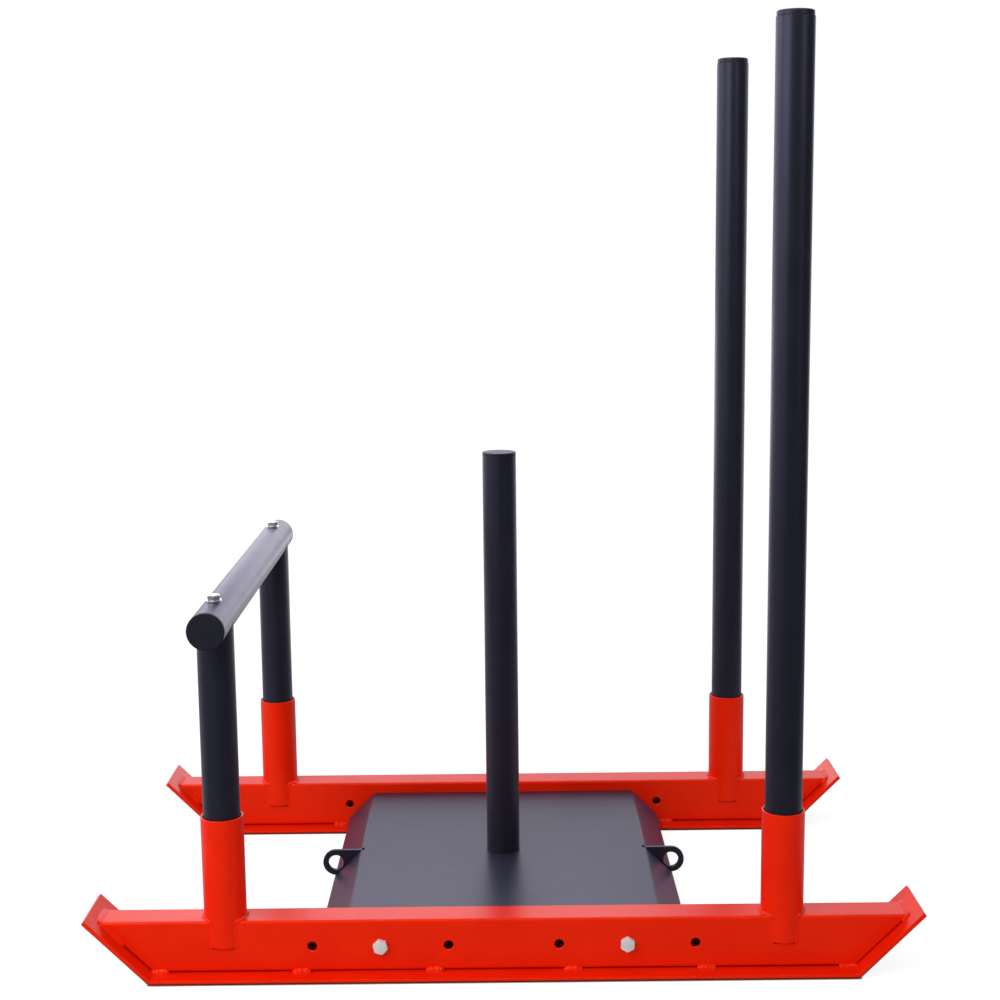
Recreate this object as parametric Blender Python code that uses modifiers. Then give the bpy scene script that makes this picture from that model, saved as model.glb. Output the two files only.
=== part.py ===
"""Weight sled: two skid runners, a bolted deck with a plate post, two tall posts and a low push handle.

Metres, +Z up. The origin is on the floor under the middle of the sled. +X runs to the tall posts, which is the
rear, and -X to the low handle, which is the front. Left and right are as someone sees them who stands behind
the tall posts and faces the front, so left is -Y.
"""

import math

import bmesh
import bpy

# Driving dimensions
POST_OD = 0.050  # the size of the bore of a weight plate
POST_WALL = 0.003
RUNNER_SPACING = 0.580  # between the middles of the two runners
POST_STATION = 0.380  # from the middle of the sled to each pair of sockets
TALL_POST_TOP = 1.268
CENTRE_POST_TOP = 0.676
HANDLE_BAR_HEIGHT = 0.492  # the bar's axis above the floor
HANDLE_BAR_LENGTH = 0.726

SHOE_WIDTH = 0.100
SHOE_THICKNESS = 0.006
SHOE_FLAT_HALF = 0.4785  # from the middle to where the outer face turns up
SHOE_RISE = 0.0875  # height, and run, of the upturned end along its outer face
SHOE_BEND_RADIUS = 0.003  # inside the bend

BEAM_WIDTH = 0.048
BEAM_TOP = 0.079
BEAM_WALL = 0.003
BEAM_EDGE_RADIUS = 0.004
MITRE_BLOCK = 0.300  # the side of the block that cuts the beam's sloping end

SOCKET_OD = 0.058
SOCKET_WALL = 0.003
SOCKET_TOP = 0.2215
SOCKET_BOTTOM = 0.0415
SOCKET_FLOOR = 0.004

HOLE_STATIONS = (0.075, 0.1675, 0.260)  # both ways from the middle
HOLE_HEIGHT = 0.0425
HOLE_DIAMETER = 0.013

DECK_TOP = 0.062
DECK_THICKNESS = 0.004
DECK_HALF_LENGTH = 0.218  # to the fold of each flank
DECK_FLANK = 0.042  # height, and run, of each sloping flank
DECK_BEND_RADIUS = 0.004
CHEEK_THICKNESS = 0.004
CHEEK_CORNER_CUT = 0.006

EYE_THICKNESS = 0.006
EYE_OD = 0.040
EYE_HOLE = 0.023
EYE_REACH = 0.2575  # from the middle of the sled to the middle of the ring
EYE_SLOT_START = 0.214  # where the slot for the eye's web starts, on the flat side of the fold
EYE_SLOT_END = 0.250
EYE_SLOT_SPARE = 0.003  # the slot is this much wider than the web, on the right
EYE_WEB_DEPTH = 0.010  # how far the web goes through the flank

CAP_PLUG = 0.015
TALL_POST_CAP = {"od": 0.048, "lip": 0.0075, "edge": 0.0020}
CENTRE_POST_CAP = {"od": 0.050, "lip": 0.0048, "edge": 0.0012}
PUSH_BAR_CAP = {"od": 0.050, "lip": 0.0040, "edge": 0.0012}

DECK_BOLT_STATION = HOLE_STATIONS[1]
DECK_BOLT = {"shank": 0.012, "flats": 0.018, "head": 0.0075, "nut": 0.0108, "spare": 0.003}
BAR_BOLT = {"shank": 0.010, "flats": 0.016, "head": 0.0064}
BAR_WASHER = {"od": 0.021, "thickness": 0.002}
BAR_PLUG_DROP = 0.035  # from the bar's axis down to the top of the threaded plug
BAR_PLUG_THICKNESS = 0.012
BOLT_HOLE_PLAY = 0.0005  # all round a bolt in its hole

GAP = 0.0003  # between pieces that touch
ROUND = 48  # sides of a tube
SMALL_ROUND = 24  # sides of a bolt or its hole
CUT_PAST = 0.010  # how far a cutter runs past what it cuts

RUNNER_Y = RUNNER_SPACING / 2
BEAM_BOTTOM = SHOE_THICKNESS + GAP
SOCKET_SEAT = SOCKET_BOTTOM + SOCKET_FLOOR + GAP
CHEEK_FACE = RUNNER_Y - BEAM_WIDTH / 2 - GAP
SIDES = {"left": -1, "right": 1}
ENDS = {"front": -1, "rear": 1}

RED = ("red powder coat", (0.74, 0.020, 0.004), 0.0, 0.38)
BLACK = ("black powder coat", (0.014, 0.014, 0.017), 0.0, 0.48)
PLASTIC = ("black cap plastic", (0.010, 0.010, 0.012), 0.0, 0.40)
ZINC = ("zinc plate", (0.70, 0.70, 0.68), 1.0, 0.30)


def clear_scene():
    for obj in list(bpy.data.objects):
        bpy.data.objects.remove(obj, do_unlink=True)


def collection(name):
    made = bpy.data.collections.new(name)
    bpy.context.scene.collection.children.link(made)
    return made


def material(finish):
    name, colour, metallic, roughness = finish
    made = bpy.data.materials.get(name)
    if made is None:
        made = bpy.data.materials.new(name)
        made.use_nodes = True
        shader = made.node_tree.nodes["Principled BSDF"]
        shader.inputs["Base Color"].default_value = (*colour, 1)
        shader.inputs["Metallic"].default_value = metallic
        shader.inputs["Roughness"].default_value = roughness
    return made


def add_object(name, data, finish, where=(0, 0, 0), turn=(0, 0, 0), parent=None):
    """One sub-part, in world place, optionally carried by an empty."""
    obj = bpy.data.objects.new(name, data)
    obj.rotation_euler = turn
    obj.location = where
    if parent is not None:
        obj.parent = parent
        obj.location = [own - carried for own, carried in zip(where, parent.location)]
    data.materials.append(material(finish))
    parts.objects.link(obj)
    return obj


def add_cutter(name, mesh, where=(0, 0, 0), turn=(0, 0, 0)):
    obj = bpy.data.objects.new(name, mesh)
    obj.location = where
    obj.rotation_euler = turn
    obj.hide_render = True
    obj.display_type = "WIRE"
    cutters.objects.link(obj)
    return obj


def boolean(obj, other, operation="DIFFERENCE"):
    modifier = obj.modifiers.new(f"{operation.lower()} {other.name}", "BOOLEAN")
    modifier.operation = operation
    modifier.object = other


# Outlines and profiles


def arc(cx, cy, radius, start, end, steps):
    """Points on an arc, angles in degrees, both ends included."""
    angles = [math.radians(start + (end - start) * i / steps) for i in range(steps + 1)]
    return [(cx + radius * math.cos(a), cy + radius * math.sin(a)) for a in angles]


def ring(cx, cy, diameter, sides):
    return arc(cx, cy, diameter / 2, 0, 360, sides)[:-1]


def rounded_rectangle(width, height, radius, steps):
    x, y = width / 2 - radius, height / 2 - radius
    return (
        arc(x, y, radius, 0, 90, steps)
        + arc(-x, y, radius, 90, 180, steps)
        + arc(-x, -y, radius, 180, 270, steps)
        + arc(x, -y, radius, 270, 360, steps)
    )


def hexagon(flats):
    return arc(0, 0, flats / 2 / math.cos(math.radians(30)), 30, 390, 6)[:-1]


def folded_strip(half, run, base, rise, thickness, radius, steps):
    """Side view of a flat bar bent at 45 degrees at both ends, symmetric about x = 0.

    half, base: the outer face's straight stretch. run: how far each end goes out. rise: +1 up, -1 down. The
    outer face is the one on the outside of both bends.
    """
    tilt = math.radians(45)
    outer = radius + thickness
    setback = outer * math.tan(tilt / 2)
    centre_x, centre_z = half - setback, base + rise * outer
    tip_x, tip_z = half + run, base + rise * run
    first = -90 * rise
    outer_bend = arc(centre_x, centre_z, outer, first, first + 45 * rise, steps)
    inner_bend = arc(centre_x, centre_z, radius, first + 45 * rise, first, steps)
    slope = thickness * math.sin(tilt)
    right = outer_bend + [(tip_x, tip_z), (tip_x - slope, tip_z + rise * slope)] + inner_bend
    left = [(-x, z) for x, z in reversed(right)]
    return right + left


def outline_curve(name, outlines, thickness):
    """A flat outline, the later ones being holes, as a filled 2D curve of this thickness."""
    curve = bpy.data.curves.new(name, "CURVE")
    curve.dimensions = "2D"
    curve.fill_mode = "BOTH"
    curve.extrude = thickness / 2
    for points in outlines:
        spline = curve.splines.new("POLY")
        spline.points.add(len(points) - 1)
        for point, (x, y) in zip(spline.points, points):
            point.co = (x, y, 0, 1)
        spline.use_cyclic_u = True
    return curve


def mesh_of_curve(curve):
    """The curve's shape as a welded mesh, for pieces that are cut."""
    holder = bpy.data.objects.new(curve.name, curve)
    parts.objects.link(holder)
    graph = bpy.context.evaluated_depsgraph_get()
    mesh = bpy.data.meshes.new_from_object(holder.evaluated_get(graph))
    bpy.data.objects.remove(holder)
    shape = bmesh.new()
    shape.from_mesh(mesh)
    bmesh.ops.remove_doubles(shape, verts=shape.verts, dist=0.00001)
    bmesh.ops.recalc_face_normals(shape, faces=shape.faces)
    shape.to_mesh(mesh)
    shape.free()
    return mesh


def profile_mesh(name, profile, closed):
    """Edges of a profile in the XZ plane, to be turned about Z."""
    mesh = bpy.data.meshes.new(name)
    edges = [(i, i + 1) for i in range(len(profile) - 1)]
    if closed:
        edges.append((len(profile) - 1, 0))
    mesh.from_pydata([(r, 0, z) for r, z in profile], edges, [])
    return mesh


def turn_about_z(obj):
    modifier = obj.modifiers.new("turned", "SCREW")
    modifier.steps = ROUND
    modifier.render_steps = ROUND
    modifier.use_merge_vertices = True
    modifier.merge_threshold = 0.00001
    modifier.use_smooth_shade = True


def cylinder_mesh(name, diameter, length, sides):
    mesh = bpy.data.meshes.new(name)
    shape = bmesh.new()
    bmesh.ops.create_cone(
        shape, cap_ends=True, segments=sides, radius1=diameter / 2, radius2=diameter / 2, depth=length
    )
    shape.to_mesh(mesh)
    shape.free()
    return mesh


def box_mesh(name, length, width, height):
    mesh = bpy.data.meshes.new(name)
    shape = bmesh.new()
    bmesh.ops.create_cube(shape, size=1)
    bmesh.ops.scale(shape, vec=(length, width, height), verts=shape.verts)
    shape.to_mesh(mesh)
    shape.free()
    return mesh


# Turned pieces


def tube(name, bottom, top, where, turn=(0, 0, 0), parent=None):
    """A post tube, open at both ends, from bottom to top along its own axis."""
    outer, inner = POST_OD / 2, POST_OD / 2 - POST_WALL
    profile = [(outer, top), (outer, bottom), (inner, bottom), (inner, top)]
    obj = add_object(name, profile_mesh(name, profile, True), BLACK, where, turn, parent)
    turn_about_z(obj)
    return obj


def end_cap(name, size, where, turn=(0, 0, 0), parent=None):
    """A plastic plug with a lip that covers the tube's end, where its own origin is."""
    rim, top, edge = size["od"] / 2, size["lip"], size["edge"]
    plug = POST_OD / 2 - POST_WALL - GAP
    profile = [(0, top)]
    profile += arc(rim - edge, top - edge, edge, 90, 0, 3)
    profile += [(rim, GAP), (plug, GAP), (plug, -CAP_PLUG), (0, -CAP_PLUG)]
    obj = add_object(name, profile_mesh(name, profile, False), PLASTIC, where, turn, parent)
    turn_about_z(obj)


def socket(name, x, y):
    """A cup for a post: a tube with a floor, which passes down through the top of the beam."""
    outer, inner = SOCKET_OD / 2, SOCKET_OD / 2 - SOCKET_WALL
    floor = SOCKET_BOTTOM + SOCKET_FLOOR
    profile = [
        (0, floor),
        (inner, floor),
        (inner, SOCKET_TOP),
        (outer, SOCKET_TOP),
        (outer, SOCKET_BOTTOM),
        (0, SOCKET_BOTTOM),
    ]
    obj = add_object(name, profile_mesh(name, profile, False), RED, (x, y, 0))
    turn_about_z(obj)


# Runners


def shoe(name, y):
    outline = folded_strip(SHOE_FLAT_HALF, SHOE_RISE, 0, 1, SHOE_THICKNESS, SHOE_BEND_RADIUS, 5)
    curve = outline_curve(name, [outline], SHOE_WIDTH)
    add_object(name, curve, RED, (0, y, 0), (math.radians(90), 0, 0))


def beam(name, y):
    """A rectangular tube with both ends cut to lie against the shoe's upturned ends."""
    height = BEAM_TOP - BEAM_BOTTOM
    section = [
        rounded_rectangle(BEAM_WIDTH, height, BEAM_EDGE_RADIUS, 3),
        rounded_rectangle(
            BEAM_WIDTH - 2 * BEAM_WALL, height - 2 * BEAM_WALL, BEAM_EDGE_RADIUS - BEAM_WALL, 1
        ),
    ]
    mesh = mesh_of_curve(outline_curve(name, section, 2 * (SHOE_FLAT_HALF + SHOE_RISE)))
    quarter = math.radians(90)
    obj = add_object(name, mesh, RED, (0, y, (BEAM_TOP + BEAM_BOTTOM) / 2), (quarter, 0, quarter))

    for end, sign in ENDS.items():
        cut_mitre(obj, y, end)
        for station in HOLE_STATIONS:
            hole = cylinder_mesh("bolt hole", HOLE_DIAMETER, BEAM_WIDTH + CUT_PAST, SMALL_ROUND)
            where = (sign * station, y, HOLE_HEIGHT)
            cutter = add_cutter(f"{name}_{end}_hole_{station * 1000:.0f}", hole, where, (quarter, 0, 0))
            boolean(obj, cutter)
        depth = BEAM_TOP - SOCKET_BOTTOM + GAP + CUT_PAST
        opening = cylinder_mesh("socket opening", SOCKET_OD + 2 * GAP, depth, ROUND)
        where = (sign * POST_STATION, y, SOCKET_BOTTOM - GAP + depth / 2)
        boolean(obj, add_cutter(f"{name}_{end}_socket", opening, where))


def cut_mitre(obj, y, end):
    """Cuts the beam's end at 45 degrees with a block, one face of which is the shoe's upturned inner face."""
    sign = ENDS[end]
    inner_bend = SHOE_FLAT_HALF - SHOE_THICKNESS * math.tan(math.radians(22.5))
    foot = inner_bend - SHOE_THICKNESS - GAP * math.sqrt(2)  # where the cut would meet the floor
    middle = BEAM_TOP / 2
    away = MITRE_BLOCK / 2 / math.sqrt(2)
    where = (sign * (foot + middle + away), y, middle - away)
    mesh = box_mesh("mitre", MITRE_BLOCK, BEAM_WIDTH + CUT_PAST, MITRE_BLOCK)
    boolean(obj, add_cutter(f"{obj.name}_{end}_mitre", mesh, where, (0, sign * -math.radians(45), 0)))


# Deck


def deck():
    """A plate with two folds, a slot at each fold for a tow eye's web, and a hole for the centre post."""
    width = 2 * CHEEK_FACE
    outline = folded_strip(DECK_HALF_LENGTH, DECK_FLANK, DECK_TOP, -1, DECK_THICKNESS, DECK_BEND_RADIUS, 5)
    mesh = mesh_of_curve(outline_curve("deck_plate", [outline], width))
    obj = add_object("deck_plate", mesh, BLACK, (0, 0, 0), (math.radians(90), 0, 0))
    for end, sign in ENDS.items():
        slot = box_mesh(
            "slot", EYE_SLOT_END - EYE_SLOT_START, EYE_THICKNESS + 2 * GAP + EYE_SLOT_SPARE, 2 * DECK_TOP
        )
        where = (sign * (EYE_SLOT_START + EYE_SLOT_END) / 2, EYE_SLOT_SPARE / 2, DECK_TOP)
        boolean(obj, add_cutter(f"deck_slot_{end}", slot, where))
    hole = cylinder_mesh("post hole", POST_OD + 2 * GAP, DECK_THICKNESS + CUT_PAST, ROUND)
    boolean(obj, add_cutter("deck_post_hole", hole, (0, 0, DECK_TOP - DECK_THICKNESS / 2)))


def cheek(name, side):
    """A plate under the deck's edge that takes the bolts through the runner. It follows the flanks."""
    top = DECK_TOP - DECK_THICKNESS - GAP
    bottom = DECK_TOP - DECK_FLANK
    # Where the flank's inner face meets the height z, seen from the side.
    inner = DECK_HALF_LENGTH + DECK_TOP - (DECK_THICKNESS + GAP) * math.sqrt(2)
    half_top, half_bottom = inner - top - CHEEK_CORNER_CUT, inner - bottom
    shoulder = (inner - top + CHEEK_CORNER_CUT, top - CHEEK_CORNER_CUT)
    right = [(half_bottom, bottom), (shoulder[0], shoulder[1]), (half_top, top)]
    outline = right + [(-x, z) for x, z in reversed(right)]
    holes = [
        ring(sign * DECK_BOLT_STATION, HOLE_HEIGHT, HOLE_DIAMETER, SMALL_ROUND) for sign in (-1, 1)
    ]
    curve = outline_curve(name, [outline, *holes], CHEEK_THICKNESS)
    y = SIDES[side] * (CHEEK_FACE - CHEEK_THICKNESS / 2)
    add_object(name, curve, BLACK, (0, y, 0), (math.radians(90), 0, 0))


def tow_eye(name, end):
    """A plate on edge, level with the deck, that ends in a ring. Its web goes down through the flank's slot."""
    middle = DECK_TOP - EYE_OD / 2
    radius = EYE_OD / 2
    slope = DECK_HALF_LENGTH + DECK_TOP + GAP * math.sqrt(2)  # x + z just above the flank's outer face
    # The ring's own edge meets the flank where x + z equals slope.
    reach = (slope - EYE_REACH - middle) / radius / math.sqrt(2)
    low = 45 - math.degrees(math.acos(reach))
    inner, outer = EYE_SLOT_START + EYE_SLOT_SPARE, EYE_SLOT_END - GAP
    through = EYE_WEB_DEPTH / math.sqrt(2)
    web = [
        (outer, slope - outer),
        (outer - through, slope - outer - through),
        (inner, slope - inner - 2 * through),
        (inner, DECK_TOP),
    ]
    outline = arc(EYE_REACH, middle, radius, 90, low, 20) + web
    hole = ring(EYE_REACH, middle, EYE_HOLE, SMALL_ROUND)
    sign = ENDS[end]
    shapes = [[(sign * x, z) for x, z in points] for points in (outline, hole)]
    curve = outline_curve(name, shapes, EYE_THICKNESS)
    add_object(name, curve, BLACK, (0, 0, 0), (math.radians(90), 0, 0))


# Fasteners


def hex_bolt(name, size, length, where, turn=(0, 0, 0), parent=None):
    """A hex head above its own origin, and a shank below it."""
    head = mesh_of_curve(outline_curve(name, [hexagon(size["flats"])], size["head"]))
    for vertex in head.vertices:
        vertex.co.z += size["head"] / 2
    obj = add_object(name, head, ZINC, where, turn, parent)
    shank = cylinder_mesh("shank", size["shank"], length + size["head"] / 2, SMALL_ROUND)
    for vertex in shank.vertices:
        vertex.co.z += size["head"] / 2 - (length + size["head"] / 2) / 2
    other = add_cutter(f"{name}_shank", shank, where, turn)
    boolean(obj, other, "UNION")


def flat_ring(name, outline, bore, thickness, where, turn=(0, 0, 0), finish=ZINC, parent=None):
    """A nut, washer or plug: an outline with a round hole through it, centred on its own origin."""
    curve = outline_curve(name, [outline, ring(0, 0, bore, SMALL_ROUND)], thickness)
    add_object(name, curve, finish, where, turn, parent)


def deck_fasteners(side, end):
    y_sign, x = SIDES[side], ENDS[end] * DECK_BOLT_STATION
    outward = math.radians(90) * -y_sign  # turns the bolt's own +Z away from the sled
    head_seat = RUNNER_Y + BEAM_WIDTH / 2 + GAP
    nut_seat = CHEEK_FACE - CHEEK_THICKNESS - GAP
    length = head_seat - nut_seat + DECK_BOLT["nut"] + DECK_BOLT["spare"]
    place = (x, y_sign * head_seat, HOLE_HEIGHT)
    hex_bolt(f"deck_bolt_{side}_{end}", DECK_BOLT, length, place, (outward, 0, 0))
    flat_ring(
        f"deck_nut_{side}_{end}",
        hexagon(DECK_BOLT["flats"]),
        DECK_BOLT["shank"] + 2 * GAP,
        DECK_BOLT["nut"],
        (x, y_sign * (nut_seat - DECK_BOLT["nut"] / 2), HOLE_HEIGHT),
        (outward, 0, 0),
    )


# Push handle


def push_handle():
    """Two short posts and the bar across their tops. All of it lifts out of the front sockets as one."""
    x, z = -POST_STATION, HANDLE_BAR_HEIGHT
    carrier = lifted("push_handle_lift", x, 0, z)
    along_y = (math.radians(-90), 0, 0)
    half = HANDLE_BAR_LENGTH / 2 - PUSH_BAR_CAP["lip"]
    bar = tube("push_bar", -half, half, (x, 0, z), turn=along_y, parent=carrier)
    saddle_mesh = cylinder_mesh("saddle", POST_OD + 2 * GAP, HANDLE_BAR_LENGTH, ROUND)
    saddle = add_cutter("saddle", saddle_mesh, (x, 0, z), along_y)
    for side, sign in SIDES.items():
        y = sign * RUNNER_Y
        post = tube(f"handle_post_{side}", SOCKET_SEAT - z, 0, (x, y, z), parent=carrier)
        boolean(post, saddle)
        hole = cylinder_mesh("bolt hole", BAR_BOLT["shank"] + 2 * BOLT_HOLE_PLAY, 2 * POST_OD, SMALL_ROUND)
        boolean(bar, add_cutter(f"bar_hole_{side}", hole, (x, y, z)))
        cap_turn = (math.radians(-90) * sign, 0, 0)
        end_cap(f"push_bar_cap_{side}", PUSH_BAR_CAP, (x, sign * half, z), cap_turn, carrier)
        bar_fasteners(side, x, y, z, carrier)


def bar_fasteners(side, x, y, z, carrier):
    """The bolt and washer on top of the bar, and the threaded plug inside the post that they pull on."""
    washer_seat = z + POST_OD / 2 + GAP
    head_seat = washer_seat + BAR_WASHER["thickness"] + GAP
    plug_top = z - BAR_PLUG_DROP
    bore = BAR_BOLT["shank"] + 2 * GAP
    flat_ring(
        f"bar_washer_{side}",
        ring(0, 0, BAR_WASHER["od"], SMALL_ROUND),
        bore,
        BAR_WASHER["thickness"],
        (x, y, washer_seat + BAR_WASHER["thickness"] / 2),
        parent=carrier,
    )
    flat_ring(
        f"bar_plug_{side}",
        ring(0, 0, POST_OD - 2 * POST_WALL - 2 * GAP, ROUND),
        bore,
        BAR_PLUG_THICKNESS,
        (x, y, plug_top - BAR_PLUG_THICKNESS / 2),
        finish=BLACK,
        parent=carrier,
    )
    length = head_seat - plug_top + BAR_PLUG_THICKNESS
    hex_bolt(f"bar_bolt_{side}", BAR_BOLT, length, (x, y, head_seat), parent=carrier)


# Posts


def lifted(name, x, y, z):
    """An empty on the axis that a piece is lifted along."""
    carrier = bpy.data.objects.new(name, None)
    carrier.location = (x, y, z)
    parts.objects.link(carrier)
    return carrier


def posts():
    for side, sign in SIDES.items():
        y = sign * RUNNER_Y
        carrier = lifted(f"tall_post_{side}_lift", POST_STATION, y, SOCKET_SEAT)
        top = TALL_POST_TOP - TALL_POST_CAP["lip"]
        tube(f"tall_post_{side}", SOCKET_SEAT, top, (POST_STATION, y, 0), parent=carrier)
        end_cap(f"tall_post_cap_{side}", TALL_POST_CAP, (POST_STATION, y, top), parent=carrier)
    top = CENTRE_POST_TOP - CENTRE_POST_CAP["lip"]
    tube("centre_post", DECK_TOP - DECK_THICKNESS, top, (0, 0, 0))
    end_cap("centre_post_cap", CENTRE_POST_CAP, (0, 0, top))


def build():
    for side, sign in SIDES.items():
        y = sign * RUNNER_Y
        shoe(f"skid_shoe_{side}", y)
        beam(f"runner_beam_{side}", y)
        socket(f"handle_socket_{side}", -POST_STATION, y)
        socket(f"tall_post_socket_{side}", POST_STATION, y)
        cheek(f"deck_cheek_{side}", side)
        for end in ENDS:
            deck_fasteners(side, end)
    deck()
    for end in ENDS:
        tow_eye(f"tow_eye_{end}", end)
    posts()
    push_handle()


clear_scene()
parts = collection("weight sled")
cutters = collection("cutters")
build()
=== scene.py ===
"""The finished look of the weight sled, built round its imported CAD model.

Metres, +Z up, in the CAD model's own frame: +X runs to the tall posts (the rear), -X to the push handle
(the front), and left is -Y, the side nearer to the camera. The pieces that show are rebuilt here with their
rounded edges, drilled holes and weld beads. The hidden cheek plates and plugs keep their CAD shapes. The
studio has a pale floor and soft light.
"""

import logging
import math
import random
from dataclasses import dataclass
from enum import Enum
from functools import reduce

import bmesh
import bpy
from mathutils import Matrix, Quaternion, Vector


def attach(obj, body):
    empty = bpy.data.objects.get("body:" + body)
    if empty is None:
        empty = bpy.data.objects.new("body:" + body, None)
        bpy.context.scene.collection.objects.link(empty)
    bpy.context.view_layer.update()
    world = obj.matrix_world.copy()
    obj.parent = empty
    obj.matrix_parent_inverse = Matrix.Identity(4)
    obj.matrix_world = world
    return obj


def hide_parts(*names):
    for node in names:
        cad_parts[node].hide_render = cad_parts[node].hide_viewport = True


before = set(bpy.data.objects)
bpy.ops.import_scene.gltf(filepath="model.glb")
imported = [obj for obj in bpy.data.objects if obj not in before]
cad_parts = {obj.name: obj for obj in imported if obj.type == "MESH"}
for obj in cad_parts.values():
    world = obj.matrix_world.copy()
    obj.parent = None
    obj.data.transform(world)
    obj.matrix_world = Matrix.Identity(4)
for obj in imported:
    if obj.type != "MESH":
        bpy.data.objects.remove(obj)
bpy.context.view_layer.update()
LOG = logging.getLogger("weight_sled")

Point = tuple[float, float, float]
Pair = tuple[float, float]
Colour = tuple[float, float, float]
Row = list[bmesh.types.BMVert]


class Slot(Enum):
    """The record's material slots."""

    RED = "red_powder_coat"
    BLACK = "black_powder_coat"
    PLASTIC = "black_plastic"
    ZINC = "zinc_plate"


class Body(Enum):
    """The rigid bodies of the frame."""

    CHASSIS = "chassis"
    LEFT_POST = "left_tall_post"
    RIGHT_POST = "right_tall_post"
    HANDLE = "push_handle"


class Way(Enum):
    """A way along an axis; the value is its sign."""

    @property
    def word(self) -> str:
        """The word that node names use."""
        return self.name.lower()


class Side(Way):
    """The two sides of the sled, along Y."""

    LEFT = -1
    RIGHT = 1


class End(Way):
    """The two ends of the sled, along X."""

    FRONT = -1
    REAR = 1


# Sizes that several sub-assemblies share
POST_RADIUS = 0.025
POST_WALL = 0.003
POST_X = 0.380
RUNNER_Y = 0.290
GAP = 0.0003
SHOE_THICKNESS = 0.006
SHOE_FLAT_HALF = 0.4785
BEAM_HALF_WIDTH = 0.024
BEAM_TOP = 0.079
BEAM_BOTTOM = SHOE_THICKNESS + 0.0016
SOCKET_RADIUS = 0.029
SOCKET_TOP = 0.2215
SOCKET_BOTTOM = 0.0415
SOCKET_SEAT = 0.0458
DECK_TOP = 0.062
DECK_THICKNESS = 0.004
HOLE_HEIGHT = 0.0425
HALF_BEND = math.radians(22.5)

# How many sides the round pieces have
TURNED_SIDES = 128
HEX_SIDES = 96
RING_SIDES = 64
SMALL_SIDES = 48
BEAD_SIDES = 16


# Shader expressions


class Term:
    """A number in a shader tree. Operators on it add Math nodes."""

    def __init__(self, recipe: "Recipe", socket: bpy.types.NodeSocket) -> None:
        """Wraps an output of the recipe's tree."""
        self.recipe = recipe
        self.socket = socket

    def maths(self, operation: str, first: "Term | float", second: "Term | float" = 0.0) -> "Term":
        """One Math node's result."""
        return self.recipe.node("ShaderNodeMath", {"operation": operation}, {0: first, 1: second})

    def __add__(self, other: "Term | float") -> "Term":
        """The sum."""
        return self.maths("ADD", self, other)

    __radd__ = __add__

    def __sub__(self, other: "Term | float") -> "Term":
        """The difference."""
        return self.maths("SUBTRACT", self, other)

    def __rsub__(self, other: "Term | float") -> "Term":
        """The difference, reflected."""
        return self.maths("SUBTRACT", other, self)

    def __mul__(self, other: "Term | float") -> "Term":
        """The product."""
        return self.maths("MULTIPLY", self, other)

    __rmul__ = __mul__

    def __pow__(self, other: "Term | float") -> "Term":
        """The power."""
        return self.maths("POWER", self, other)

    def __abs__(self) -> "Term":
        """The size without the sign."""
        return self.maths("ABSOLUTE", self)

    def larger(self, other: "Term | float") -> "Term":
        """The larger of two values."""
        return self.maths("MAXIMUM", self, other)

    def step(self, low: float, high: float) -> "Term":
        """A smooth step, from 0 at the low value to 1 at the high one."""
        settings = {"interpolation_type": "SMOOTHSTEP"}
        return self.recipe.node("ShaderNodeMapRange", settings, {0: self, 1: low, 2: high})


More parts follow.
